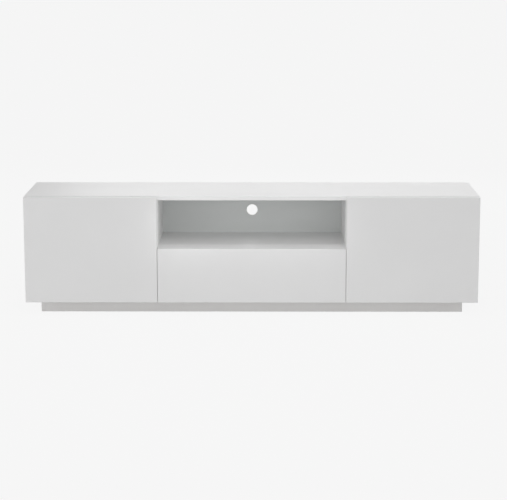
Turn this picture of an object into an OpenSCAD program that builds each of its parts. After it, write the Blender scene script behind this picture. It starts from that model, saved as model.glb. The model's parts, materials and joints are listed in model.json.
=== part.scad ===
// Low television cabinet: two end doors, an open niche over a drawer, and a recessed plinth.
// Millimetres, +Z up, +X to the right, the fronts face -Y. The origin is on the floor, at the
// centre of the footprint.

/* [Cabinet] */
// Overall width
overall_w = 1800; // [1640:20:2000]
// Overall depth, from the faces of the fronts to the rear edge
overall_d = 400; // [395:5:450]
// Overall height
overall_h = 475; // [465:5:520]
// Thickness of the carcass boards
board_t = 16; // [16:1:19]
// Clear width of the middle bay, between the dividers
bay_w = 744; // [640:4:800]
// Clear height of the open niche
niche_h = 192; // [170:2:200]

/* [Fronts] */
// Thickness of the doors and of the drawer front
front_t = 16; // [16:1:19]
// Free space between the fronts and the carcass edges behind them
front_gap = 3; // [3:0.5:4]
// Gap between two neighbouring fronts
reveal = 1.5; // [1:0.5:4]
// Height of the top surface above the upper edges of the doors
top_reveal = 2; // [1:0.5:4]
// Width of the chamfer that breaks the edges of the boards
edge_ease = 0.8; // [0.4:0.2:1]

/* [Plinth] */
// Height of the plinth
plinth_h = 50; // [45:5:70]
// Distance from the fronts back to the plinth
plinth_front_in = 60; // [40:5:80]
// Distance from each end of the cabinet in to the plinth
plinth_side_in = 55; // [40:5:80]
// Distance from the rear edge in to the plinth
plinth_rear_in = 20; // [10:5:40]

/* [Back] */
// Thickness of the back panels
back_t = 3; // [3:0.5:4]
// Distance from the rear edge in to the back panels
back_in = 17; // [12:1:25]
// Diameter of the cable hole in the niche
cable_hole_d = 45; // [35:5:60]

/* [Drawer] */
// Height of the drawer box
drawer_box_h = 130; // [110:5:135]
// Thickness of the drawer's sides and back
drawer_side_t = 12; // [12:1:15]
// Length of the drawer runners
runner_l = 350; // [320:10:350]

/* [Hidden] */
$fn = 48;
play = 0.05;                             // radial room of a dowel, bolt or screw in its bore
tip_room = 0.5;                          // room past the tip of a dowel, bolt or screw
over = 1;                                // how far a cutter runs past the face it cuts

// Carcass planes
half_w = overall_w / 2;
side_x = half_w - board_t;               // inner face of a side panel
bay_x = bay_w / 2;                       // inner face of a divider
divider_x = bay_x + board_t;             // outer face of a divider
face_y = -overall_d / 2;                 // faces of the fronts
front_back_y = face_y + front_t;         // backs of the fronts
carcass_y = front_back_y + front_gap;    // front edges of the carcass boards
rear_y = overall_d / 2;
back_y = rear_y - back_in - back_t;      // front face of the back panels
base_z = plinth_h;                       // underside of the bottom panel
floor_z = base_z + board_t;              // compartment floor
ceiling_z = overall_h - board_t;         // underside of the top panel
niche_z = ceiling_z - niche_h;           // top of the niche shelf
groove = 5;                              // how far the back panels reach into their grooves
groove_room = 0.5;                       // space past the edge of a panel in its groove
groove_play = 0.1;                       // space on each face of a panel in its groove

// Fronts
drawer_overlap = 2;                      // how far the drawer front covers each divider
drawer_front_x = bay_x + drawer_overlap;
door_in_x = drawer_front_x + reveal;     // free edge of a door
door_top_z = overall_h - top_reveal;

// Screws: length, radius, head radius
cup_screw = [12, 1.75, 3.5];
plate_screw = [14, 1.75, 3.5];
rail_screw = [12, 1.75, 3];
inner_rail_screw = [9, 1.75, 3];
latch_screw = [12, 1.5, 2.8];
drawer_screw = [40, 2, 4];
drive_w = 0.7;                           // width of the cross recess in a head

// Knock-down fittings: a cam, its bolt and a dowel
cam_r = 7.5;
cam_in = 24;                             // from the joint to the cam's centre
cam_web = 3.5;                           // board left under a cam bore
cam_play = 0.15;
bolt_r = 3.5;
bolt_depth = 11;                         // length of thread in the face of a board
bolt_shank_r = 3;
bolt_neck_r = 1.8;
bolt_head_l = 3;
bolt_hole_r = 4;
dowel_r = 4;
dowel_short = 10;                        // the part in the face of a board
dowel_long = 20;                         // the part in the end of a board
fitting_front_in = 50;                   // from the front edge to the first fitting
fitting_rear_in = 80;                    // from the rear edge to the last fitting
dowel_step = 32;                         // from a cam to the dowel beside it
cam_ys = [carcass_y + fitting_front_in, rear_y - fitting_rear_in];
dowel_ys = [cam_ys[0] + dowel_step, cam_ys[1] - dowel_step];

// Adjustable shelves
pin_r = 2.5;
pin_in_board = 10;
pin_out = 8;
pin_pitch = 32;
pin_collar_r = 4;
pin_collar_t = 1.5;
collar_room = 0.5;
pin_mid_z = (floor_z + ceiling_z) / 2 - board_t / 2 - pin_r;
pin_zs = [pin_mid_z - pin_pitch, pin_mid_z, pin_mid_z + pin_pitch];
pin_ys = [carcass_y + 60, back_y - 50];
shelf_front_in = 25;
shelf_play = 1;
shelf_z = pin_mid_z + pin_r;

// Concealed hinges. u runs inwards from the cabinet's end, v backwards from the carcass edge.
hinge_end_in = 90;                       // from a door's end to the hinge beside it
hinge_zs = [base_z + hinge_end_in, door_top_z - hinge_end_in];
pivot_u = 7.5;
pivot_in_door = 8;                       // from the door's back to the pin
pivot_v = -front_gap - pivot_in_door;
hinge_pin_r = 1.5;
hinge_pin_play = 0.05;
hinge_pin_half_l = 9;
cup_r = 17.5;
cup_tab = 3;                             // door material outside the cup
cup_u = cup_tab + cup_r;
cup_depth = 12.5;
cup_wall = 1;
cup_play = 0.1;
cup_flange_t = 1.2;
cup_screw_pitch = 48;
cup_screw_u = cup_u + 6;
ear_z = [4.4, 9.4];                      // the ears that hold the pin, on each side of the arm
ear_end_u = 12;
arm_t = 2.5;
finger_half_z = 3.5;
barrel_r = 2.4;
beam_wall = 1.5;
beam_half_z = 7;
beam_v = [14, 78];
plate_t = 3;
plate_v = [28, 46];
plate_half_z = 23;
rib_v = [20, 72];
rib_h = 4;
rib_half_z = 5;
plate_screw_v = 37;
plate_screw_pitch = 32;
beam_u = board_t + plate_t;
elbow_u = beam_u + 8;
arm_screw_r = 2;
arm_screw_head = [3.4, 1.2];             // radius and height
arm_screw_vs = [52, 66];

// Push latches
latch_z = 400;
latch_w = 14;
latch_h = 20;
latch_l = 60;
latch_tab_t = 2;
latch_tab_h = 9;
latch_screw_ys = [carcass_y + 12, carcass_y + 50];
plunger_r = 3.5;
plunger_l = 46;
plunger_play = 0.1;
channel_l = 54;                          // depth of the channel that a plunger slides in
strike_r = 7.5;
strike_t = 1;
strike_gap = 0.3;
door_latch_x = divider_x + latch_w / 2;
drawer_latch_r = 5.5;
drawer_latch_x = bay_x - drawer_latch_r - 0.4;
drawer_latch_z = 170;

// Drawer
runner_w = 13;                           // side room that a runner takes
drawer_x = bay_x - runner_w;             // outer face of a drawer side
drawer_in_x = drawer_x - drawer_side_t;
drawer_lift = 14;                        // from the compartment floor to the drawer box
drawer_z = floor_z + drawer_lift;
drawer_top_z = drawer_z + drawer_box_h;
drawer_l = runner_l - 10;
drawer_rear_y = front_back_y + drawer_l;
drawer_bottom_t = 3;
drawer_bottom_z = drawer_z + 12;
drawer_cam_zs = [drawer_z + 66, drawer_top_z - 20];
drawer_screw_zs = [drawer_z + 45, drawer_top_z - 25];

// Drawer runners: three channels, one inside the other
rail_t = 1.2;
runner_z = drawer_z + 35;
runner_y = carcass_y + 2;
outer_rail_h = 45;
middle_rail_h = 35;
inner_rail_h = 25;
middle_rail_l = runner_l - 10;
inner_rail_l = drawer_l - 12;
outer_rail_screw_ys = [runner_y + 40, runner_y + runner_l / 2, runner_y + runner_l - 50];
inner_rail_screw_ys = [runner_y + 52, runner_y + runner_l - 62];

// Plinth
plinth_x = half_w - plinth_side_in;
plinth_front_y = face_y + plinth_front_in;
plinth_rear_y = rear_y - plinth_rear_in;
block_w = 30;
block_lift = 6;                          // from the floor to the underside of a block
plinth_screw = [base_z - block_lift + 11, 2, 4];

X = [1, 0, 0];
Y = [0, 1, 0];
Z = [0, 0, 1];

// A fitting is [place on the joint plane, way into the end-grain board, way the cam opens].
function along_y(ys, x, z, into, opens) = [for (y = ys) [[x, y, z], into, opens]];
function mirrored(f) = [
    [-f[0].x, f[0].y, f[0].z],
    [-f[1].x, f[1].y, f[1].z],
    [-f[2].x, f[2].y, f[2].z]
];
function both(fittings) = concat(fittings, [for (f = fittings) mirrored(f)]);

function side_top(ys) = along_y(ys, -half_w + board_t / 2, ceiling_z, -Z, X);
function side_foot(ys) = along_y(ys, -side_x, base_z + board_t / 2, X, -Z);
function divider_top(ys) = along_y(ys, -bay_x - board_t / 2, ceiling_z, -Z, -X);
function divider_foot(ys) = along_y(ys, -bay_x - board_t / 2, floor_z, Z, -X);
function shelf_end(ys) = along_y(ys, -bay_x, niche_z - board_t / 2, X, -Z);
function all_joints(ys) = both(concat(
    side_top(ys), side_foot(ys), divider_top(ys), divider_foot(ys), shelf_end(ys)
));
drawer_fittings = [
    for (z = drawer_cam_zs) [[-drawer_x + drawer_side_t / 2, front_back_y, z], Y, -X]
];

// ---------------------------------------------------------------- shapes that repeat

// A box between two corners.
module block(low, high) {
    translate(low) cube(high - low);
}

// A rectangle with its corners cut off at 45 degrees.
module eased_outline(a, b) {
    e = edge_ease;
    polygon([[e, 0], [a - e, 0], [a, e], [a, b - e], [a - e, b], [e, b], [0, b - e], [0, e]]);
}

// A box between two corners, with every edge chamfered.
module eased_block(low, high) {
    size = high - low;
    translate(low) intersection() {
        linear_extrude(size.z) eased_outline(size.x, size.y);
        translate([0, size.y, 0]) rotate([90, 0, 0])
            linear_extrude(size.y) eased_outline(size.x, size.z);
        rotate([90, 0, 90]) linear_extrude(size.x) eased_outline(size.y, size.z);
    }
}

// The same children on the left and on the right.
module on_both_sides() {
    children();
    mirror(X) children();
}

// Children drawn with +Z into the end-grain board and +X the way the cam opens.
module at_fitting(f) {
    side = cross(f[1], f[2]);
    multmatrix([
        [f[2].x, side.x, f[1].x, f[0].x],
        [f[2].y, side.y, f[1].y, f[0].y],
        [f[2].z, side.z, f[1].z, f[0].z],
        [0, 0, 0, 1]
    ]) children();
}

// Holes for cams and their bolts, in the boards on both sides of each joint.
module cam_bores(fittings, t = board_t) {
    for (f = fittings) at_fitting(f) {
        translate([0, 0, -bolt_depth - tip_room])
            cylinder(r = bolt_r + play, h = bolt_depth + tip_room + over);
        cylinder(r = bolt_hole_r, h = cam_in + bolt_head_l + tip_room);
        translate([cam_web - t / 2, 0, cam_in]) rotate([0, 90, 0])
            cylinder(r = cam_r, h = t - cam_web + over);
    }
}

module dowel_bores(fittings) {
    for (f = fittings) at_fitting(f) translate([0, 0, -dowel_short - tip_room])
        cylinder(r = dowel_r + play, h = dowel_short + dowel_long + 2 * tip_room);
}

// A zinc cam: a disc with a mouth for the bolt's head and a cross recess for the screwdriver.
module cam(f, t = board_t) {
    h = t - cam_web - 2 * cam_play;
    middle = t / 2 - cam_web - cam_play;
    mouth = bolt_shank_r + 0.5;
    recess = [4.5, 0.6, 1.5];
    at_fitting(f) translate([cam_web - t / 2 + cam_play, 0, cam_in]) difference() {
        rotate([0, 90, 0]) cylinder(r = cam_r - cam_play, h = h);
        block([middle - mouth, -mouth, -cam_r - over], [middle + mouth, mouth, recess.x]);
        for (turn = [0, 90]) translate([h, 0, 0]) rotate([turn, 0, 0])
            block([-recess.z, -recess.x, -recess.y], [over, recess.x, recess.y]);
    }
}

// A steel bolt: thread, shank, neck and head.
module cam_bolt(f) {
    at_fitting(f) {
        translate([0, 0, -bolt_depth]) cylinder(r = bolt_r, h = bolt_depth);
        cylinder(r = bolt_shank_r, h = cam_in - cam_r + 0.5);
        cylinder(r = bolt_neck_r, h = cam_in + 1);
        translate([0, 0, cam_in]) cylinder(r = bolt_shank_r, h = bolt_head_l);
    }
}

module wood_dowel(f) {
    at_fitting(f) translate([0, 0, -dowel_short])
        cylinder(r = dowel_r, h = dowel_short + dowel_long);
}

// A countersunk screw [length, radius, head radius], pointing down, its head's top at z = 0.
module wood_screw(size) {
    l = size[0];
    r = size[1];
    head_r = size[2];
    head_h = head_r - r;
    difference() {
        union() {
            translate([0, 0, -l]) cylinder(r1 = r / 3, r2 = r, h = 2 * r);
            translate([0, 0, 2 * r - l]) cylinder(r = r, h = l - 2 * r - head_h);
            translate([0, 0, -head_h]) cylinder(r1 = r, r2 = head_r, h = head_h);
        }
        for (turn = [0, 90]) rotate(turn)
            block([-head_r * 0.6, -drive_w / 2, -head_h], [head_r * 0.6, drive_w / 2, over]);
    }
}

// The hole that such a screw fills.
module screw_bore(size) {
    r = size[1] + play;
    head_r = size[2] + play;
    head_h = head_r - r;
    translate([0, 0, -size[0] - tip_room]) cylinder(r = r, h = size[0] + tip_room);
    translate([0, 0, -head_h - play]) cylinder(r1 = r, r2 = head_r, h = head_h + play);
    translate([0, 0, -play]) cylinder(r = head_r, h = over);
}

// Children drawn for a screw that points left, or right, instead of down.
module pointing_left() {
    rotate([0, 90, 0]) children();
}

module pointing_right() {
    rotate([0, -90, 0]) children();
}

// Grooves for the three back panels.
module back_grooves() {
    reach = groove + groove_room;
    for (span = [[-side_x, -divider_x], [-bay_x, bay_x], [divider_x, side_x]])
        block([span[0] - reach, back_y - groove_play, floor_z - reach],
              [span[1] + reach, back_y + back_t + groove_play, ceiling_z + reach]);
}

module back_panel(x0, x1) {
    block([x0 - groove, back_y, floor_z - groove],
          [x1 + groove, back_y + back_t, ceiling_z + groove]);
}

// ---------------------------------------------------------------- carcass

module top_panel() {
    color("white") difference() {
        eased_block([-half_w, carcass_y, ceiling_z], [half_w, rear_y, overall_h]);
        cam_bores(both(concat(side_top(cam_ys), divider_top(cam_ys))));
        dowel_bores(both(concat(side_top(dowel_ys), divider_top(dowel_ys))));
        back_grooves();
    }
}

module bottom_panel() {
    color("white") difference() {
        block([-side_x, carcass_y, base_z], [side_x, rear_y, floor_z]);
        cam_bores(both(concat(side_foot(cam_ys), divider_foot(cam_ys))));
        dowel_bores(both(concat(side_foot(dowel_ys), divider_foot(dowel_ys))));
        back_grooves();
        at_plinth_screws() screw_bore(plinth_screw);
    }
}

module left_side_panel() {
    color("white") difference() {
        block([-half_w, carcass_y, base_z], [-side_x, rear_y, ceiling_z]);
        cam_bores(concat(side_top(cam_ys), side_foot(cam_ys)));
        dowel_bores(concat(side_top(dowel_ys), side_foot(dowel_ys)));
        back_grooves();
        pin_holes(-side_x, -1);
        at_plate_screws() screw_bore(plate_screw);
    }
}

module left_divider() {
    color("white") difference() {
        block([-divider_x, carcass_y, floor_z], [-bay_x, rear_y, ceiling_z]);
        cam_bores(concat(divider_top(cam_ys), divider_foot(cam_ys), shelf_end(cam_ys)));
        dowel_bores(concat(divider_top(dowel_ys), divider_foot(dowel_ys), shelf_end(dowel_ys)));
        back_grooves();
        pin_holes(-divider_x, 1);
        at_outer_rail_screws() screw_bore(rail_screw);
        at_latch_screws() screw_bore(latch_screw);
    }
}

module niche_shelf() {
    color("white") difference() {
        block([-bay_x, carcass_y, niche_z - board_t], [bay_x, back_y - groove_play, niche_z]);
        cam_bores(both(shelf_end(cam_ys)));
        dowel_bores(both(shelf_end(dowel_ys)));
    }
}

module left_back_panel() {
    color("white") back_panel(-side_x, -divider_x);
}

module centre_back_panel() {
    color("white") difference() {
        back_panel(-bay_x, bay_x);
        translate([0, back_y - over, ceiling_z - niche_h / 2]) rotate([-90, 0, 0])
            cylinder(d = cable_hole_d, h = back_t + 2 * over);
    }
}

// ---------------------------------------------------------------- adjustable shelves

// Three rows of pin holes in the face at x; way is +1 or -1 along X into the board.
module pin_holes(x, way) {
    for (y = pin_ys, z = pin_zs) translate([x, y, z]) rotate([0, 90 * way, 0])
        translate([0, 0, -over])
            cylinder(r = pin_r + play, h = pin_in_board + over + tip_room);
}

module shelf_pin(x, y, way) {
    translate([x, y, pin_mid_z]) rotate([0, 90 * way, 0]) {
        translate([0, 0, -pin_out]) cylinder(r = pin_r, h = pin_out + pin_in_board);
        translate([0, 0, -pin_collar_t]) cylinder(r = pin_collar_r, h = pin_collar_t);
    }
}

module shelf_pins() {
    color("silver") on_both_sides() for (y = pin_ys) {
        shelf_pin(-side_x, y, -1);
        shelf_pin(-divider_x, y, 1);
    }
}

// The shelf is notched at its ends, round the collars of the pins.
module left_shelf() {
    notch = [pin_collar_t + collar_room, pin_collar_r + collar_room];
    color("white") difference() {
        block([-side_x + shelf_play, carcass_y + shelf_front_in, shelf_z],
              [-divider_x - shelf_play, back_y - shelf_play, shelf_z + board_t]);
        for (x = [-side_x, -divider_x], y = pin_ys)
            block([x - notch.x, y - notch.y, shelf_z - over],
                  [x + notch.x, y + notch.y, pin_mid_z + notch.y]);
    }
}

// ---------------------------------------------------------------- plinth

module plinth_front_rail() {
    color("gainsboro")
        eased_block([-plinth_x, plinth_front_y, 0], [plinth_x, plinth_front_y + board_t, base_z]);
}

module plinth_back_rail() {
    color("gainsboro")
        block([-plinth_x, plinth_rear_y - board_t, 0], [plinth_x, plinth_rear_y, base_z]);
}

// A rail from the front rail to the back rail, with its outer face at x.
module short_rail(x) {
    color("gainsboro") block([x, plinth_front_y + board_t, 0],
                             [x + board_t, plinth_rear_y - board_t, base_z]);
}

module plinth_left_rail() {
    short_rail(-plinth_x);
}

module left_cross_rail() {
    short_rail(-divider_x);
}

// Children at the blocks: in the corners of the plinth and beside the cross rails.
module at_plinth_blocks() {
    xs = [-plinth_x + board_t, -bay_x];
    ys = [plinth_front_y + board_t, plinth_rear_y - board_t - block_w];
    on_both_sides() for (x = xs, y = ys) translate([x, y, block_lift]) children();
}

module at_plinth_screws() {
    at_plinth_blocks() translate([block_w / 2, block_w / 2, 0]) rotate([180, 0, 0]) children();
}

module plinth_blocks() {
    color("burlywood") difference() {
        at_plinth_blocks() cube([block_w, block_w, base_z - block_lift]);
        at_plinth_screws() screw_bore(plinth_screw);
    }
}

module plinth_screws() {
    color("silver") at_plinth_screws() wood_screw(plinth_screw);
}

// ---------------------------------------------------------------- fasteners

module cam_locks() {
    color("silver") for (f = all_joints(cam_ys)) cam(f);
}

module cam_bolts() {
    color("silver") for (f = all_joints(cam_ys)) cam_bolt(f);
}

module wood_dowels() {
    color("burlywood") for (f = all_joints(dowel_ys)) wood_dowel(f);
}

// ---------------------------------------------------------------- hinges

// Children at each hinge of the left door, with X as u and Y as v.
module at_left_hinges() {
    for (z = hinge_zs) translate([-half_w, carcass_y, z]) children();
}

module at_cup_screws() {
    at_left_hinges() for (s = [-1, 1])
        translate([cup_screw_u, cup_flange_t - front_gap, s * cup_screw_pitch / 2])
            rotate([-90, 0, 0]) children();
}

module at_plate_screws() {
    at_left_hinges() for (s = [-1, 1])
        translate([beam_u, plate_screw_v, s * plate_screw_pitch / 2]) pointing_left() children();
}

// A cup let into the back of the door, with a flange for two screws and ears for the pin.
module left_hinge_cups() {
    outer_r = cup_r - cup_play;
    floor_v = -front_gap - cup_depth + cup_play;
    color("silver") difference() {
        at_left_hinges() difference() {
            union() {
                difference() {
                    union() {
                        translate([cup_u, -front_gap, 0]) rotate([90, 0, 0])
                            cylinder(r = outer_r, h = cup_depth - cup_play);
                        block([cup_u - 8, -front_gap, -cup_screw_pitch / 2 - 6],
                              [cup_screw_u + 8, cup_flange_t - front_gap,
                               cup_screw_pitch / 2 + 6]);
                    }
                    translate([cup_u, over, 0]) rotate([90, 0, 0])
                        cylinder(r = outer_r - cup_wall, h = over - floor_v - cup_wall);
                }
                intersection() {
                    translate([cup_u, -front_gap, 0]) rotate([90, 0, 0])
                        cylinder(r = outer_r, h = cup_depth - cup_play);
                    for (s = [0, 1]) mirror([0, 0, s]) block(
                        [0, floor_v, ear_z[0]], [ear_end_u, pivot_v + barrel_r, ear_z[1]]);
                }
            }
            translate([pivot_u, pivot_v, 0])
                cylinder(r = hinge_pin_r, h = 2 * hinge_pin_half_l, center = true);
        }
        at_cup_screws() screw_bore(cup_screw);
    }
}

module left_hinge_pins() {
    color("silver") at_left_hinges() translate([pivot_u, pivot_v, 0])
        cylinder(r = hinge_pin_r, h = 2 * hinge_pin_half_l, center = true);
}

module left_hinge_screws() {
    color("silver") at_cup_screws() wood_screw(cup_screw);
}

// A cranked arm: a barrel on the pin, a finger out of the cup and a beam back to the plate.
module left_hinge_arms() {
    color("silver") at_left_hinges() difference() {
        union() {
            translate([pivot_u, pivot_v, 0])
                cylinder(r = barrel_r, h = 2 * finger_half_z, center = true);
            block([pivot_u, pivot_v - arm_t / 2, -finger_half_z],
                  [elbow_u, pivot_v + arm_t / 2, finger_half_z]);
            block([elbow_u - arm_t, pivot_v - arm_t / 2, -beam_half_z],
                  [elbow_u, beam_v[0] + over, beam_half_z]);
            block([beam_u, beam_v[0], -beam_half_z], [elbow_u, beam_v[1], beam_half_z]);
        }
        translate([pivot_u, pivot_v, 0]) cylinder(
            r = hinge_pin_r + hinge_pin_play, h = 2 * finger_half_z + over, center = true);
        block([beam_u - over, beam_v[0] + beam_wall, beam_wall - beam_half_z],
              [elbow_u - beam_wall, beam_v[1] - beam_wall, beam_half_z - beam_wall]);
        for (v = arm_screw_vs) translate([elbow_u + over, v, 0]) rotate([0, -90, 0])
            cylinder(r = arm_screw_r + play, h = beam_wall + 2 * over);
    }
}

// The plate on the side panel, with the rib that the arm clips over.
module left_hinge_plate() {
    difference() {
        at_left_hinges() {
            block([board_t, plate_v[0], -plate_half_z], [beam_u, plate_v[1], plate_half_z]);
            block([board_t, rib_v[0], -rib_half_z], [beam_u + rib_h, rib_v[1], rib_half_z]);
        }
        at_plate_screws() screw_bore(plate_screw);
        at_left_hinges() for (v = arm_screw_vs) translate([beam_u, v, 0]) pointing_right()
            mirror(Z) cylinder(r = arm_screw_r + play, h = rib_h + over);
    }
}

module hinge_plates() {
    color("silver") on_both_sides() left_hinge_plate();
}

// A round-headed screw that holds the arm to the rib; the underside of its head is at z = 0.
module arm_screw() {
    depth = elbow_u - beam_u;
    difference() {
        union() {
            translate([0, 0, -depth]) cylinder(r = arm_screw_r, h = depth);
            cylinder(r = arm_screw_head[0], h = arm_screw_head[1]);
        }
        for (turn = [0, 90]) rotate(turn)
            block([-2, -drive_w / 2, 0.2], [2, drive_w / 2, arm_screw_head[1] + over]);
    }
}

module hinge_plate_screws() {
    color("silver") on_both_sides() {
        at_plate_screws() wood_screw(plate_screw);
        at_left_hinges() for (v = arm_screw_vs)
            translate([elbow_u, v, 0]) pointing_left() arm_screw();
    }
}

// ---------------------------------------------------------------- push latches

// Children at the screws of a door's latch and of the drawer latch, on the left divider.
module at_latch_screws() {
    for (y = latch_screw_ys) {
        translate([-divider_x - latch_tab_t, y, latch_z + latch_h / 2 + latch_tab_h / 2])
            pointing_right() children();
        translate([-bay_x + latch_tab_t, y, drawer_latch_z + drawer_latch_r + latch_tab_h / 2])
            pointing_left() children();
    }
}

module plunger_channel(x, z) {
    translate([x, carcass_y - over, z]) rotate([-90, 0, 0])
        cylinder(r = plunger_r + plunger_play, h = channel_l + over);
}

// A case with a round channel, and a tab above it for two screws.
module left_latch_case() {
    x = -door_latch_x;
    tab_z = latch_z + latch_h / 2;
    color("white") difference() {
        union() {
            block([x - latch_w / 2, carcass_y + 0.5, latch_z - latch_h / 2],
                  [-divider_x, carcass_y + latch_l, tab_z]);
            block([-divider_x - latch_tab_t, carcass_y + 4, tab_z - over],
                  [-divider_x, carcass_y + latch_l - 2, tab_z + latch_tab_h]);
        }
        plunger_channel(x, latch_z);
        at_latch_screws() screw_bore(latch_screw);
    }
}

// Round cases in the side room of the drawer, above the runners.
module drawer_latch_cases() {
    color("white") on_both_sides() difference() {
        union() {
            translate([-drawer_latch_x, carcass_y + 1, drawer_latch_z]) rotate([-90, 0, 0])
                cylinder(r = drawer_latch_r, h = latch_l - 1);
            block([-bay_x, carcass_y + 4, drawer_latch_z - 3],
                  [-bay_x + latch_tab_t, carcass_y + latch_l - 2,
                   drawer_latch_z + drawer_latch_r + latch_tab_h]);
        }
        plunger_channel(-drawer_latch_x, drawer_latch_z);
        at_latch_screws() screw_bore(latch_screw);
    }
}

module latch_screws() {
    color("silver") on_both_sides() at_latch_screws() wood_screw(latch_screw);
}

// A rod with a stepped tip; y is where the tip stops.
module plunger(x, y, z) {
    translate([x, y, z]) rotate([-90, 0, 0]) {
        cylinder(r = plunger_r - 0.5, h = 1);
        translate([0, 0, 1]) cylinder(r = plunger_r, h = plunger_l - 1);
    }
}

module left_latch_plunger() {
    color("dimgray") plunger(-door_latch_x, front_back_y + strike_t + strike_gap, latch_z);
}

module drawer_latch_plungers() {
    color("dimgray") on_both_sides()
        plunger(-drawer_latch_x, front_back_y + strike_gap, drawer_latch_z);
}

module left_strike_plate() {
    color("silver") translate([-door_latch_x, front_back_y, latch_z]) rotate([-90, 0, 0])
        cylinder(r = strike_r, h = strike_t);
}

// ---------------------------------------------------------------- doors

module left_door_panel() {
    color("white") difference() {
        eased_block([-half_w, face_y, base_z], [-door_in_x, front_back_y, door_top_z]);
        at_left_hinges() translate([cup_u, over - front_gap, 0]) rotate([90, 0, 0])
            cylinder(r = cup_r, h = cup_depth + over);
        at_cup_screws() screw_bore(cup_screw);
    }
}

// ---------------------------------------------------------------- drawer

// The groove that holds the drawer bottom, in the front, the sides and the back.
module drawer_bottom_groove() {
    reach = groove + groove_room;
    block([-drawer_in_x - reach, front_back_y - reach, drawer_bottom_z - groove_play],
          [drawer_in_x + reach, drawer_rear_y - drawer_side_t + reach,
           drawer_bottom_z + drawer_bottom_t + groove_play]);
}

module drawer_bottom() {
    color("whitesmoke")
        block([-drawer_in_x - groove, front_back_y - groove, drawer_bottom_z],
              [drawer_in_x + groove, drawer_rear_y - drawer_side_t + groove,
               drawer_bottom_z + drawer_bottom_t]);
}

module drawer_front() {
    color("white") difference() {
        eased_block([-drawer_front_x, face_y, base_z], [drawer_front_x, front_back_y, niche_z]);
        drawer_bottom_groove();
        cam_bores(both(drawer_fittings), drawer_side_t);
    }
}

// Children at the two screws through a side into the end of the back.
module at_drawer_screws() {
    for (z = drawer_screw_zs)
        translate([-drawer_x, drawer_rear_y - drawer_side_t / 2, z]) pointing_right() children();
}

module drawer_left_side() {
    color("whitesmoke") difference() {
        block([-drawer_x, front_back_y, drawer_z], [-drawer_in_x, drawer_rear_y, drawer_top_z]);
        drawer_bottom_groove();
        cam_bores(drawer_fittings, drawer_side_t);
        at_drawer_screws() screw_bore(drawer_screw);
        at_inner_rail_screws() screw_bore(inner_rail_screw);
    }
}

module drawer_back() {
    color("whitesmoke") difference() {
        block([-drawer_in_x, drawer_rear_y - drawer_side_t, drawer_z],
              [drawer_in_x, drawer_rear_y, drawer_top_z]);
        drawer_bottom_groove();
        on_both_sides() at_drawer_screws() screw_bore(drawer_screw);
    }
}

module drawer_cams() {
    color("silver") for (f = both(drawer_fittings)) cam(f, drawer_side_t);
}

module drawer_bolts() {
    color("silver") for (f = both(drawer_fittings)) cam_bolt(f);
}

module drawer_screws() {
    color("silver") on_both_sides() {
        at_drawer_screws() wood_screw(drawer_screw);
        at_inner_rail_screws() wood_screw(inner_rail_screw);
    }
}

// ---------------------------------------------------------------- drawer runners

// A channel along Y from y: a web at x0 and two flanges that reach to x1, h high outside.
module rail(x0, x1, h, l, y) {
    web_x = x0 < x1 ? x0 : x0 - rail_t;
    translate([0, y, runner_z]) {
        block([web_x, 0, -h / 2], [web_x + rail_t, l, h / 2]);
        for (z = [-h / 2, h / 2 - rail_t])
            block([min(x0, x1), 0, z], [max(x0, x1), l, z + rail_t]);
    }
}

module at_outer_rail_screws() {
    for (y = outer_rail_screw_ys)
        translate([-bay_x + rail_t, y, runner_z]) pointing_left() children();
}

module at_inner_rail_screws() {
    for (y = inner_rail_screw_ys)
        translate([-drawer_x - rail_t, y, runner_z]) pointing_right() children();
}

module left_outer_rail() {
    color("silver") difference() {
        rail(-bay_x, -bay_x + 8, outer_rail_h, runner_l, runner_y);
        at_outer_rail_screws() screw_bore(rail_screw);
    }
}

module outer_rail_screws() {
    color("silver") on_both_sides() at_outer_rail_screws() wood_screw(rail_screw);
}

module left_middle_rail() {
    color("silver") rail(-bay_x + 3, -bay_x + 10, middle_rail_h, middle_rail_l, runner_y + 2);
}

module left_inner_rail() {
    color("silver") difference() {
        rail(-drawer_x, -bay_x + 6, inner_rail_h, inner_rail_l, front_back_y + 4);
        at_inner_rail_screws() screw_bore(inner_rail_screw);
    }
}

// ---------------------------------------------------------------- nodes

top_panel();
bottom_panel();
left_side_panel();
mirror(X) left_side_panel();  // right_side_panel
left_divider();
mirror(X) left_divider();  // right_divider
niche_shelf();
left_back_panel();
centre_back_panel();
mirror(X) left_back_panel();  // right_back_panel
left_shelf();
mirror(X) left_shelf();  // right_shelf
shelf_pins();
plinth_front_rail();
plinth_back_rail();
plinth_left_rail();
mirror(X) plinth_left_rail();  // plinth_right_rail
left_cross_rail();
mirror(X) left_cross_rail();  // right_cross_rail
plinth_blocks();
plinth_screws();
cam_locks();
cam_bolts();
wood_dowels();
hinge_plates();
hinge_plate_screws();
left_hinge_arms();
mirror(X) left_hinge_arms();  // right_hinge_arms
left_outer_rail();
mirror(X) left_outer_rail();  // right_outer_rail
outer_rail_screws();
left_latch_case();
mirror(X) left_latch_case();  // right_latch_case
drawer_latch_cases();
latch_screws();
left_door_panel();
left_hinge_cups();
left_hinge_pins();
left_hinge_screws();
left_strike_plate();
mirror(X) left_door_panel();  // right_door_panel
mirror(X) left_hinge_cups();  // right_hinge_cups
mirror(X) left_hinge_pins();  // right_hinge_pins
mirror(X) left_hinge_screws();  // right_hinge_screws
mirror(X) left_strike_plate();  // right_strike_plate
drawer_front();
drawer_left_side();
mirror(X) drawer_left_side();  // drawer_right_side
drawer_back();
drawer_bottom();
drawer_cams();
drawer_bolts();
drawer_screws();
left_inner_rail();
mirror(X) left_inner_rail();  // right_inner_rail
left_middle_rail();
mirror(X) left_middle_rail();  // right_middle_rail
left_latch_plunger();
mirror(X) left_latch_plunger();  // right_latch_plunger
drawer_latch_plungers();
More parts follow.
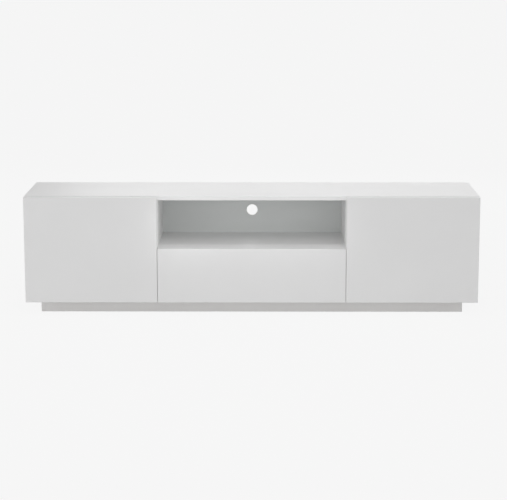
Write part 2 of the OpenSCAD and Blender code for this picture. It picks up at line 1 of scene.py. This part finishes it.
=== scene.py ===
"""Looks of the television cabinet: rounded edges, materials, runner balls, light and camera.

Metres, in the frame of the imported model: +Z up, +X to the right, the fronts face -Y.
"""

import json
import math

import bmesh
import bpy
from mathutils import Matrix, Vector


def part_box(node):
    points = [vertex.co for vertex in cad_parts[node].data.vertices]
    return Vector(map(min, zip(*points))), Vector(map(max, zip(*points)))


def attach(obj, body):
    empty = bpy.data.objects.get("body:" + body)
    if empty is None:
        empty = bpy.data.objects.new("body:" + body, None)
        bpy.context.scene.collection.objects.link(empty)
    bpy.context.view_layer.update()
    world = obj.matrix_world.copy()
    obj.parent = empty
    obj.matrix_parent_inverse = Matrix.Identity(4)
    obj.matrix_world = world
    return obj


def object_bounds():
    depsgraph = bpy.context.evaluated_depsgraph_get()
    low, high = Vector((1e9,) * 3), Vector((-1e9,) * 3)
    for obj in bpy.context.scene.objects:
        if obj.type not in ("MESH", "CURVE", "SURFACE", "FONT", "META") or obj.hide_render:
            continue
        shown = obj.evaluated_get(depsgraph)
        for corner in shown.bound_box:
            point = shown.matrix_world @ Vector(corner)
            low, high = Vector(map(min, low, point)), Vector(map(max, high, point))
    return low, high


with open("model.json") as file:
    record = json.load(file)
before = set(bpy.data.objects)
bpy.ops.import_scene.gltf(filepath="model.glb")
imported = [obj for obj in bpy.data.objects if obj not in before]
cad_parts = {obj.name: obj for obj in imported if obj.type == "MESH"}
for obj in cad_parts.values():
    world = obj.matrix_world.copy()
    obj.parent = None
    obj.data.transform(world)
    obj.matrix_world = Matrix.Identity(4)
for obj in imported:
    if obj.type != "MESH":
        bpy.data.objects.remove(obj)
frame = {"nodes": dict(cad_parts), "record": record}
NODES = frame["nodes"]
SLOT_OF = {part["node"]: part["material_slot"] for part in frame["record"]["subparts"]}
cad_low, cad_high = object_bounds()
cad_middle = (cad_low + cad_high) / 2
MM = 0.001

# ---------------------------------------------------------------- edges and shading

CORNER_ANGLE = math.radians(35)      # sharper edges are real corners, and not facets of a curve
SHORTEST_CORNER = 1.0 * MM           # shorter edges belong to small bores and stay as they are
MERGE = 0.002 * MM                   # vertices nearer than this are one
KEY_STEP = 20 * MERGE                # grid on which the same point of two meshes is matched
FLAT_ANGLE = math.radians(0.5)       # faces that meet flatter than this become one
ROUNDING_SEGMENTS = 3
ROUNDING = {                         # width of the rounding, by material slot
    "white_board": 0.4 * MM, "front_lacquer": 0.4 * MM, "plinth_board": 0.5 * MM,
    "drawer_board": 0.5 * MM, "thin_board": 0.2 * MM, "raw_wood": 0.4 * MM,
    "zinc_fitting": 0.25 * MM, "nickel_steel": 0.25 * MM, "zinc_steel": 0.2 * MM,
    "grey_plastic": 0.4 * MM, "white_plastic": 0.5 * MM, "plated_screw": 0.15 * MM,
}


def crisp_shading():
    """A node group that shades curves smooth and keeps corners sharp."""
    group = bpy.data.node_groups.new("crisp_shading", "GeometryNodeTree")
    for way in ("INPUT", "OUTPUT"):
        group.interface.new_socket("Geometry", in_out=way, socket_type="NodeSocketGeometry")
    nodes = group.nodes
    start, end = nodes.new("NodeGroupInput"), nodes.new("NodeGroupOutput")
    drop = nodes.new("GeometryNodeRemoveAttribute")
    drop.inputs["Name"].default_value = "custom_normal"
    faces = nodes.new("GeometryNodeSetShadeSmooth")
    edges = nodes.new("GeometryNodeSetShadeSmooth")
    edges.domain = "EDGE"
    angle = nodes.new("GeometryNodeInputMeshEdgeAngle")
    below = nodes.new("FunctionNodeCompare")
    below.operation = "LESS_THAN"
    below.inputs["B"].default_value = CORNER_ANGLE
    for a, b in (
        (start.outputs[0], drop.inputs["Geometry"]),
        (drop.outputs["Geometry"], faces.inputs["Geometry"]),
        (faces.outputs["Geometry"], edges.inputs["Geometry"]),
        (angle.outputs["Unsigned Angle"], below.inputs["A"]),
        (below.outputs["Result"], edges.inputs["Shade Smooth"]),
        (edges.outputs["Geometry"], end.inputs[0]),
    ):
        group.links.new(a, b)
    return group


def point_key(co):
    """A point as whole steps of a fine grid."""
    return tuple(round(x / KEY_STEP) for x in co)


def corner_points(mesh):
    """Keys of the vertices at which every sharp edge is a long one."""
    work = bmesh.new()
    work.from_mesh(mesh)
    bmesh.ops.remove_doubles(work, verts=work.verts, dist=MERGE)
    points = set()
    for vert in work.verts:
        corners = [e for e in vert.link_edges if e.calc_face_angle(0) > CORNER_ANGLE]
        if corners and min(e.calc_length() for e in corners) > SHORTEST_CORNER:
            points.add(point_key(vert.co))
    work.free()
    return points


def shade_modifiers(piece, shading):
    """Smooth curves, sharp corners, and normals weighted by the size of the faces."""
    crisp = piece.modifiers.new("crisp", "NODES")
    crisp.node_group = shading
    normals = piece.modifiers.new("normals", "WEIGHTED_NORMAL")
    normals.keep_sharp = True


def round_edges(piece, width, shading):
    """Breaks the long edges of a CAD node with a small rounding, by modifiers alone."""
    corners = corner_points(piece.data)
    group = piece.vertex_groups.new(name="corners")
    group.add([v.index for v in piece.data.vertices if point_key(v.co) in corners], 1, "REPLACE")
    weld = piece.modifiers.new("weld", "WELD")
    weld.merge_threshold = MERGE
    flat = piece.modifiers.new("flat_faces", "DECIMATE")
    flat.decimate_type = "DISSOLVE"
    flat.angle_limit = FLAT_ANGLE
    bevel = piece.modifiers.new("rounding", "BEVEL")
    bevel.width = width
    bevel.segments = ROUNDING_SEGMENTS
    bevel.limit_method = "VGROUP"
    bevel.vertex_group = group.name
    bevel.use_clamp_overlap = True
    shade_modifiers(piece, shading)


# ---------------------------------------------------------------- material helpers

def join(tree, socket, value):
    """Gives a socket a value, or links another node's output to it."""
    if isinstance(value, bpy.types.NodeSocket):
        tree.links.new(value, socket)
    else:
        socket.default_value = value


def add(tree, kind, inputs=None, **settings):
    """A new shader node; inputs gives its sockets and settings its properties."""
    node = tree.nodes.new("ShaderNode" + kind)
    for name, value in settings.items():
        setattr(node, name, value)
    for name, value in (inputs or {}).items():
        join(tree, node.inputs[name], value)
    return node


def calculate(tree, kind, operation, operands):
    """The result of a Math or VectorMath node."""
    node = add(tree, kind, operation=operation)
    for socket, operand in zip(node.inputs, operands):
        join(tree, socket, operand)
    return node.outputs[0]


def maths(tree, operation, *operands):
    return calculate(tree, "Math", operation, operands)


def vector_maths(tree, operation, *operands):
    return calculate(tree, "VectorMath", operation, operands)


def spread(tree, value, from_low, from_high, low, high):
    """The value, moved from one range to another and kept inside it."""
    node = add(tree, "MapRange", {
        "Value": value, "From Min": from_low, "From Max": from_high, "To Min": low, "To Max": high,
    })
    return node.outputs["Result"]


NOISE_RANGE = (0.3, 0.7)             # where nearly all of a noise texture's values lie


def noise(tree, where, scale, low=0.0, high=1.0, detail=2.0):
    """Soft noise, scale in lumps a metre, that runs from low to high."""
    source = add(tree, "TexNoise", {"Vector": where, "Scale": scale, "Detail": detail})
    return spread(tree, source.outputs[0], *NOISE_RANGE, low, high)


def cells(tree, where, scale, output):
    """Voronoi cells, scale in cells a metre: their colour, or the distance to their centre."""
    return add(tree, "TexVoronoi", {"Vector": where, "Scale": scale}).outputs[output]


def mix_colour(tree, factor, a, b):
    node = add(tree, "Mix", data_type="RGBA")
    for socket, value in zip((node.inputs[0], node.inputs[6], node.inputs[7]), (factor, a, b)):
        join(tree, socket, value)
    return node.outputs[2]


def axis_of(tree, vector, axis):
    """One component of a vector: "X", "Y" or "Z"."""
    return add(tree, "SeparateXYZ", {"Vector": vector}).outputs[axis]


def grey(value, warmth=0.0):
    """A grey of that brightness, warmer above 0 and cooler below."""
    return (value * (1 + warmth), value, value * (1 - warmth), 1.0)


def new_material(name, **sockets):
    """A material with a Principled shader; sockets gives its plain numbers."""
    material = bpy.data.materials.new(name)
    material.use_nodes = True
    tree = material.node_tree
    shader = tree.nodes["Principled BSDF"]
    for socket, value in sockets.items():
        shader.inputs[socket.replace("_", " ")].default_value = value
    where = add(tree, "TexCoord").outputs["Object"]
    return material, tree, shader, where


def feed(tree, shader, socket, value):
    tree.links.new(value, shader.inputs[socket])


def bump(tree, shader, height, depth):
    node = add(tree, "Bump", {"Height": height, "Distance": depth, "Strength": 1.0})
    feed(tree, shader, "Normal", node.outputs["Normal"])


# ---------------------------------------------------------------- board materials

SKIN_DEPTH = 1.0 * MM                # deeper than this a bore or groove shows the bare core
BAND = 1.0 * MM                      # thickness of an edge band
GLUE_LINE = 0.08 * MM                # half the width of the line between a band and a face
REAR_SKIN = 0.05 * MM                # how deep the bare rear edge goes
PAINT_DEPTH = 0.3 * MM
FACE_TONES = (0.985, 1.01)           # how the brightness of a face drifts over the board
PEEL_DEPTH = 0.004 * MM
CORE_ROUGHNESS = 0.85
CORE_GRAIN = 12.0                    # relief of the bare core, against the orange peel's 1
FIBRE_DEPTH = 0.03 * MM


def depths(tree, where, node):
    """How far a point is in from a node's box, along X, Y and Z."""
    low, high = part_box(node)
    off = vector_maths(tree, "ABSOLUTE", vector_maths(tree, "SUBTRACT", where, (low + high) / 2))
    inwards = vector_maths(tree, "SUBTRACT", (high - low) / 2, off)
    return list(add(tree, "SeparateXYZ", {"Vector": inwards}).outputs)


def thin_axis(node):
    """The axis, 0 to 2, along which a board is thinnest."""
    low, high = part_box(node)
    return min(range(3), key=lambda axis: high[axis] - low[axis])


def chipboard(tree, where):
    """Colour of bare particle board: pale chips of wood pressed together."""
    tone = spread(tree, cells(tree, where, 450.0, "Color"), 0.0, 1.0, 0.0, 1.0)
    pale = mix_colour(tree, tone, (0.36, 0.24, 0.13, 1), (0.62, 0.48, 0.32, 1))
    dust = noise(tree, where, scale=1400.0, high=0.5, detail=4.0)
    return mix_colour(tree, dust, pale, (0.44, 0.32, 0.19, 1))


def bare_core(tree, where, node, from_edge, from_face, bare_rear):
    """1 where the core of a board shows, in bores and grooves and on a rear edge, and 0 elsewhere."""
    nearest = maths(tree, "MINIMUM", from_edge, from_face)
    core = maths(tree, "GREATER_THAN", nearest, SKIN_DEPTH)
    if bare_rear:
        rear_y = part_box(node)[1].y - REAR_SKIN
        rear = maths(tree, "GREATER_THAN", axis_of(tree, where, "Y"), rear_y)
        core = maths(tree, "MAXIMUM", core, rear)
    return core


def board(node, white, roughness, warmth, bare_rear=False, glue=0.93):
    """White faced board: fine orange peel, thin glue lines along its edge bands, bare core."""
    material, tree, shader, where = new_material(node + "_board", Specular_IOR_Level=0.4)
    inwards = depths(tree, where, node)
    thin = thin_axis(node)
    from_edge = maths(tree, "MINIMUM", *(inwards[axis] for axis in range(3) if axis != thin))
    core = bare_core(tree, where, node, from_edge, inwards[thin], bare_rear)

    dull, bright = (grey(white * tone, warmth) for tone in FACE_TONES)
    face = mix_colour(tree, noise(tree, where, scale=2.5, detail=3.0), dull, bright)
    from_line = maths(tree, "ABSOLUTE", maths(tree, "SUBTRACT", from_edge, BAND))
    line = maths(tree, "LESS_THAN", from_line, GLUE_LINE)
    face = mix_colour(tree, line, face, grey(white * glue, warmth + 0.01))
    feed(tree, shader, "Base Color", mix_colour(tree, core, face, chipboard(tree, where)))

    sheen = noise(tree, where, 30.0, low=roughness - 0.03, high=roughness + 0.04, detail=4.0)
    core_roughness = maths(tree, "MULTIPLY", core, CORE_ROUGHNESS)
    feed(tree, shader, "Roughness", maths(tree, "MAXIMUM", sheen, core_roughness))

    chips = noise(tree, where, scale=700.0, high=CORE_GRAIN, detail=4.0)
    relief = maths(tree, "ADD", noise(tree, where, scale=900.0),
                   maths(tree, "MULTIPLY", core, chips))
    bump(tree, shader, relief, PEEL_DEPTH)
    return material


def white_board(node):
    return board(node, white=0.89, roughness=0.42, warmth=0.002, bare_rear=node != "top_panel")


def front_lacquer(node):
    return board(node, white=0.86, roughness=0.38, warmth=0.001, glue=0.985)


# Whiter than the other white boards: painted light that lifts the plinth where the overhang shades
# it. The slight warmth is the board's own tint.
def plinth_board(node):
    return board(node, white=0.93, roughness=0.5, warmth=0.012)


def drawer_board(node):
    return board(node, white=0.78, roughness=0.5, warmth=0.0)


def thin_board(node):
    """Hardboard: a painted face to the front, or to the top, and bare brown fibre behind."""
    material, tree, shader, where = new_material(node + "_sheet", Specular_IOR_Level=0.3)
    low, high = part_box(node)
    thin = thin_axis(node)
    along = axis_of(tree, where, "XYZ"[thin])
    if thin == 2:
        bare = maths(tree, "LESS_THAN", along, high[thin] - PAINT_DEPTH)
    else:
        bare = maths(tree, "GREATER_THAN", along, low[thin] + PAINT_DEPTH)
    tone = noise(tree, where, scale=3.0, detail=3.0)
    paint = mix_colour(tree, tone, (0.815, 0.838, 0.828, 1), (0.835, 0.858, 0.848, 1))
    fibre = noise(tree, where, scale=650.0, detail=6.0)
    stain = noise(tree, where, scale=4.0, low=0.92, high=1.06, detail=3.0)
    brown = mix_colour(tree, fibre, (0.30, 0.19, 0.11, 1), (0.44, 0.30, 0.18, 1))
    brown = vector_maths(tree, "MULTIPLY", brown, stain)
    feed(tree, shader, "Base Color", mix_colour(tree, bare, paint, brown))
    sheen = noise(tree, where, scale=40.0, low=0.45, high=0.55, detail=3.0)
    feed(tree, shader, "Roughness",
         maths(tree, "ADD", sheen, maths(tree, "MULTIPLY", bare, 0.2)))
    relief = maths(tree, "MULTIPLY", fibre, spread(tree, bare, 0, 1, 0.15, 1))
    bump(tree, shader, relief, FIBRE_DEPTH)
    return material


# ---------------------------------------------------------------- wood, metal and plastic

def raw_wood():
    """Sanded beech, with short dark flecks."""
    material, tree, shader, where = new_material("beech", Specular_IOR_Level=0.3)
    drawn = vector_maths(tree, "MULTIPLY", where, (1.0, 0.12, 1.0))
    rings = noise(tree, drawn, scale=220.0, detail=5.0)
    wood = mix_colour(tree, rings, (0.50, 0.32, 0.17, 1), (0.68, 0.49, 0.31, 1))
    fleck = maths(tree, "LESS_THAN", cells(tree, drawn, 900.0, "Distance"), 0.22)
    wood = mix_colour(tree, maths(tree, "MULTIPLY", fleck, 0.5), wood, (0.32, 0.18, 0.09, 1))
    feed(tree, shader, "Base Color", wood)
    feed(tree, shader, "Roughness",
         noise(tree, drawn, scale=300.0, low=0.5, high=0.65, detail=3.0))
    bump(tree, shader, rings, 0.03 * MM)
    return material


def metal(name, colour, roughness, scale, stretch, depth, tint):
    """Plated or cast metal: uneven tone and roughness, and a fine surface drawn along stretch."""
    material, tree, shader, where = new_material(name, Metallic=1.0)
    drawn = vector_maths(tree, "MULTIPLY", where, stretch)
    cloud = noise(tree, drawn, scale, detail=4.0)
    dark = tuple(c * (1 - tint) for c in colour) + (1.0,)
    light = tuple(min(1.0, c * (1 + tint)) for c in colour) + (1.0,)
    feed(tree, shader, "Base Color", mix_colour(tree, cloud, dark, light))
    feed(tree, shader, "Roughness",
         noise(tree, drawn, scale * 1.7, roughness - 0.07, roughness + 0.07, detail=4.0))
    bump(tree, shader, cloud, depth)
    return material


def plastic(name, low, high):
    """Moulded plastic with a fine spark-eroded grain."""
    material, tree, shader, where = new_material(name, Specular_IOR_Level=0.45)
    grain = noise(tree, where, scale=1500.0, detail=3.0)
    feed(tree, shader, "Base Color", mix_colour(tree, grain, low, high))
    feed(tree, shader, "Roughness",
         noise(tree, where, scale=500.0, low=0.45, high=0.6, detail=3.0))
    bump(tree, shader, grain, 0.015 * MM)
    return material


EVEN = (1, 1, 1)
BALL_FINISH = metal("ball_steel", colour=(0.72, 0.72, 0.72), roughness=0.14, scale=300.0,
                    stretch=EVEN, depth=0.001 * MM, tint=0.03)
BOARD_FINISHES = {                   # each board has a material of its own
    "white_board": white_board, "front_lacquer": front_lacquer, "plinth_board": plinth_board,
    "drawer_board": drawer_board, "thin_board": thin_board,
}
PART_FINISHES = {                    # these are shared
    "raw_wood": raw_wood(),
    "zinc_fitting": metal("cast_zinc", colour=(0.52, 0.52, 0.53), roughness=0.5, scale=900.0,
                          stretch=EVEN, depth=0.03 * MM, tint=0.12),
    "plated_screw": metal("plated_screw", colour=(0.66, 0.65, 0.62), roughness=0.32,
                          scale=600.0, stretch=EVEN, depth=0.01 * MM, tint=0.06),
    "nickel_steel": metal("nickel_steel", colour=(0.70, 0.68, 0.65), roughness=0.28,
                          scale=800.0, stretch=(1, 1, 0.25), depth=0.003 * MM, tint=0.03),
    "zinc_steel": metal("zinc_steel", colour=(0.60, 0.62, 0.64), roughness=0.34, scale=1300.0,
                        stretch=(1, 0.02, 1), depth=0.005 * MM, tint=0.08),
    "grey_plastic": plastic("grey_plastic", (0.075, 0.08, 0.085, 1), (0.11, 0.115, 0.12, 1)),
    "white_plastic": plastic("white_plastic", grey(0.66, 0.005), grey(0.72, 0.005)),
}


def finish_cad_nodes(shading):
    """Gives every CAD node its rounded edges and its material."""
    for name, piece in NODES.items():
        slot = SLOT_OF[name]
        finish = BOARD_FINISHES[slot](name) if slot in BOARD_FINISHES else PART_FINISHES[slot]
        piece.data.materials.clear()
        piece.data.materials.append(finish)
        round_edges(piece, ROUNDING[slot], shading)


# ---------------------------------------------------------------- runner balls

RAIL_SHEET = 1.2 * MM                # thickness of the rails
BALL_PLAY = 0.1 * MM                 # room between a ball and a rail
BALL_PITCH = 10.0 * MM
BALL_SMOOTHNESS = 3                  # subdivisions of an icosahedron
CAGE_SHEET = 0.5 * MM
CAGE_FLANGE = 2.3 * MM               # from the middle of a ball to the cage's free edge
CAGE_END = 3.0 * MM                  # cage past the last ball
ROW_MARGIN = 4.0 * MM                # from the end of a row to the end of a rail
JOINTS = {joint["name"]: joint for joint in frame["record"]["behaviour"]["joints"]}
MIDDLE_TRAVEL = JOINTS["middle_rail_slide"]["range_m"][1]


def race(around, within, outwards):
    """The two rows of balls between a rail and the one within it, as a dict of measures."""
    (low, high), (inner_low, inner_high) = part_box(around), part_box(within)
    room = (high.z - low.z) / 2 - RAIL_SHEET
    solid = (inner_high.z - inner_low.z) / 2
    far, near = (high.x, inner_high.x) if outwards > 0 else (low.x, inner_low.x)
    return {
        "x": (max(low.x, inner_low.x) + min(high.x, inner_high.x)) / 2,
        "z": (low.z + high.z) / 2,
        "off": (room + solid) / 2,
        "radius": (room - solid) / 2 - BALL_PLAY,
        "web": (far - outwards * RAIL_SHEET + near) / 2,
    }


def add_balls(work, run, start, end):
    """Two rows of balls, over and under a rail, from start to end along Y."""
    count = int((end - start) / BALL_PITCH)
    for index in range(count + 1):
        y = start + (end - start) * index / count
        for z in (run["z"] - run["off"], run["z"] + run["off"]):
            bmesh.ops.create_icosphere(work, subdivisions=BALL_SMOOTHNESS, radius=run["radius"],
                                       matrix=Matrix.Translation((run["x"], y, z)))


def add_cage(work, run, start, end, outwards):
    """A thin folded channel that holds both rows of balls at their pitch."""
    half = CAGE_SHEET / 2
    tip = run["x"] - outwards * CAGE_FLANGE
    back, front = run["web"] + outwards * half, run["web"] - outwards * half
    wide, slim = run["off"] + half, run["off"] - half
    profile = [(tip, wide), (back, wide), (back, -wide), (tip, -wide),
               (tip, -slim), (front, -slim), (front, slim), (tip, slim)]
    ends = [[work.verts.new((x, y, run["z"] + z)) for x, z in profile]
            for y in (start - CAGE_END, end + CAGE_END)]
    for index in range(len(profile)):
        after = (index + 1) % len(profile)
        work.faces.new((ends[0][index], ends[0][after], ends[1][after], ends[1][index]))
    for loop in ends:
        work.faces.new(loop)
    bmesh.ops.recalc_face_normals(work, faces=work.faces)


def finish_piece(name, work, finish, shading):
    """Makes the mesh a piece that rides on the middle rails."""
    mesh = bpy.data.meshes.new(name)
    work.to_mesh(mesh)
    work.free()
    mesh.materials.append(finish)
    piece = bpy.data.objects.new(name, mesh)
    bpy.context.scene.collection.objects.link(piece)
    shade_modifiers(piece, shading)
    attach(piece, "middle_rails")


def runner_balls(side, outwards, shading):
    """The steel balls and the ball cages of one telescopic runner."""
    outer, middle, inner = (f"{side}_{rail}_rail" for rail in ("outer", "middle", "inner"))
    rear = (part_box(outer)[0].y + MIDDLE_TRAVEL + ROW_MARGIN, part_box(middle)[1].y - ROW_MARGIN)
    ahead = (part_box(middle)[0].y + ROW_MARGIN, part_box(inner)[1].y - MIDDLE_TRAVEL - ROW_MARGIN)
    balls, cages = bmesh.new(), bmesh.new()
    for run, (start, end) in ((race(outer, middle, outwards), rear),
                              (race(middle, inner, outwards), ahead)):
        add_balls(balls, run, start, end)
        add_cage(cages, run, start, end, outwards)
    finish_piece(f"{side}_runner_balls", balls, BALL_FINISH, shading)
    finish_piece(f"{side}_ball_cages", cages, PART_FINISHES["zinc_steel"], shading)


# ---------------------------------------------------------------- stage

BACKDROP = 0.922                     # how bright the sky looks
FLOOR_GLOW = 0.897                   # how bright the floor looks
FLOOR_TOUCH = 0.04                   # albedo that lets the floor show a trace of shadow
FLOOR_ALBEDO = 0.85                  # albedo with which the floor lights the object
FLOOR_HALF = 60.0
FLOOR_GAP = 0.1 * MM
SKY_FRONT = 0.777                    # light from straight ahead of the fronts
SKY_REAR = 0.346
SKY_SIDES = 0.45
SOFTBOXES = {                        # name: place, target, (width, height), watts
    "top_right": ((0.4, 0.3, 2.6), (0.1, 0.0, 0.4), (2.4, 1.6), 4.0),
    "top_left": ((-1.0, 0.3, 2.6), (-0.3, 0.0, 0.4), (2.4, 1.6), 5.0),
    "top_front": ((0.0, -1.2, 2.8), (0.0, -0.15, 0.3), (2.0, 0.5), 10.2),
    "upper_front": ((1.0, -4.0, 3.6), (0.0, 0.0, 0.3), (2.4, 1.0), 18.4),
    "low_left": ((-1.6, -2.0, 0.12), (-0.6, 0.0, 0.02), (1.2, 0.2), 1.55),
    "upper_back": ((0.3, 3.5, 1.6), (0.0, 0.0, 0.4), (3.0, 1.0), 20.0),
    "niche_fill": ((0.0, -0.32, 0.36), (0.0, 0.0, 0.36), (0.68, 0.14), 0.107),
    "niche_fill_left": ((-0.26, -0.32, 0.36), (-0.28, 0.0, 0.36), (0.16, 0.14), 0.023),
}


def dim_for_light(tree, seen, cast):
    """Mixes two shaders: the camera sees one, and the object is lit by the other."""
    path = add(tree, "LightPath")
    mix = add(tree, "MixShader", {"Fac": path.outputs["Is Camera Ray"]})
    tree.links.new(cast, mix.inputs[1])
    tree.links.new(seen, mix.inputs[2])
    return mix.outputs[0]


def studio_floor():
    """A plain floor that looks evenly lit and lights the object from below."""
    mesh = bpy.data.meshes.new("studio_floor")
    half = FLOOR_HALF
    corners = [(-half, -half, 0), (half, -half, 0), (half, half, 0), (-half, half, 0)]
    mesh.from_pydata(corners, [], [(0, 1, 2, 3)])
    floor = bpy.data.objects.new("studio_floor", mesh)
    bpy.context.scene.collection.objects.link(floor)
    floor.location.z = cad_low.z - FLOOR_GAP
    material = bpy.data.materials.new("studio_floor")
    material.use_nodes = True
    tree = material.node_tree
    tree.nodes.remove(tree.nodes["Principled BSDF"])
    glow = add(tree, "Emission", {"Color": grey(1.0), "Strength": FLOOR_GLOW})
    touch = add(tree, "BsdfDiffuse", {"Color": grey(FLOOR_TOUCH)})
    seen = add(tree, "AddShader")
    tree.links.new(glow.outputs[0], seen.inputs[0])
    tree.links.new(touch.outputs[0], seen.inputs[1])
    cast = add(tree, "BsdfDiffuse", {"Color": grey(FLOOR_ALBEDO)})
    out = tree.nodes["Material Output"]
    tree.links.new(dim_for_light(tree, seen.outputs[0], cast.outputs[0]), out.inputs["Surface"])
    mesh.materials.append(material)


def studio_sky():
    """An even backdrop, and soft light that is strongest from the front."""
    world = bpy.data.worlds.new("studio")
    bpy.context.scene.world = world
    world.use_nodes = True
    tree = world.node_tree
    seen = tree.nodes["Background"]
    seen.inputs["Color"].default_value = grey(1.0)
    seen.inputs["Strength"].default_value = BACKDROP
    way = add(tree, "SeparateXYZ", {"Vector": add(tree, "TexCoord").outputs["Generated"]})
    front = spread(tree, way.outputs["Y"], 0.0, -1.0, 0.0, SKY_FRONT)
    rear = spread(tree, way.outputs["Y"], 0.0, 1.0, 0.0, SKY_REAR)
    sides = maths(tree, "MULTIPLY", maths(tree, "ABSOLUTE", way.outputs["X"]), SKY_SIDES)
    glow = maths(tree, "ADD", sides, maths(tree, "ADD", front, rear))
    cast = add(tree, "Background", {"Color": grey(1.0), "Strength": glow})
    out = tree.nodes["World Output"]
    tree.links.new(dim_for_light(tree, seen.outputs[0], cast.outputs[0]), out.inputs["Surface"])


def point_at(thing, place, target):
    """Puts a lamp at a place and turns it to face the target."""
    thing.location = place
    thing.rotation_mode = "QUATERNION"
    thing.rotation_quaternion = (Vector(target) - Vector(place)).to_track_quat("-Z", "Y")


def lights():
    """The softboxes; none of them is in the picture itself."""
    for name, (place, target, size, watts) in SOFTBOXES.items():
        light = bpy.data.lights.new(name, "AREA")
        light.shape = "RECTANGLE"
        light.size, light.size_y = size
        light.energy = watts
        lamp = bpy.data.objects.new(name, light)
        bpy.context.scene.collection.objects.link(lamp)
        point_at(lamp, place, target)
        lamp.visible_camera = False


# ---------------------------------------------------------------- camera

CAMERA_AIM = cad_middle + Vector((0.0065, 0.0, -0.012))
CAMERA_DISTANCE = 6.779
CAMERA_PITCH = math.radians(10.695)   # looks down by this much
CAMERA_YAW = math.radians(0.269)      # and a touch to the left
CAMERA_LENS = 117.98


def camera():
    data = bpy.data.cameras.new("camera")
    data.lens = CAMERA_LENS
    seen_from = bpy.data.objects.new("camera", data)
    bpy.context.scene.collection.objects.link(seen_from)
    flat = math.cos(CAMERA_PITCH)
    forward = Vector((-math.sin(CAMERA_YAW) * flat, math.cos(CAMERA_YAW) * flat,
                      -math.sin(CAMERA_PITCH)))
    seen_from.location = CAMERA_AIM - forward * CAMERA_DISTANCE
    seen_from.rotation_euler = (math.pi / 2 - CAMERA_PITCH, 0.0, CAMERA_YAW)
    bpy.context.scene.camera = seen_from


# ---------------------------------------------------------------- the scene

crisp_corners = crisp_shading()
finish_cad_nodes(crisp_corners)
runner_balls("left", -1, crisp_corners)
runner_balls("right", 1, crisp_corners)
studio_floor()
studio_sky()
lights()
camera()
bpy.context.scene.view_settings.view_transform = "Standard"
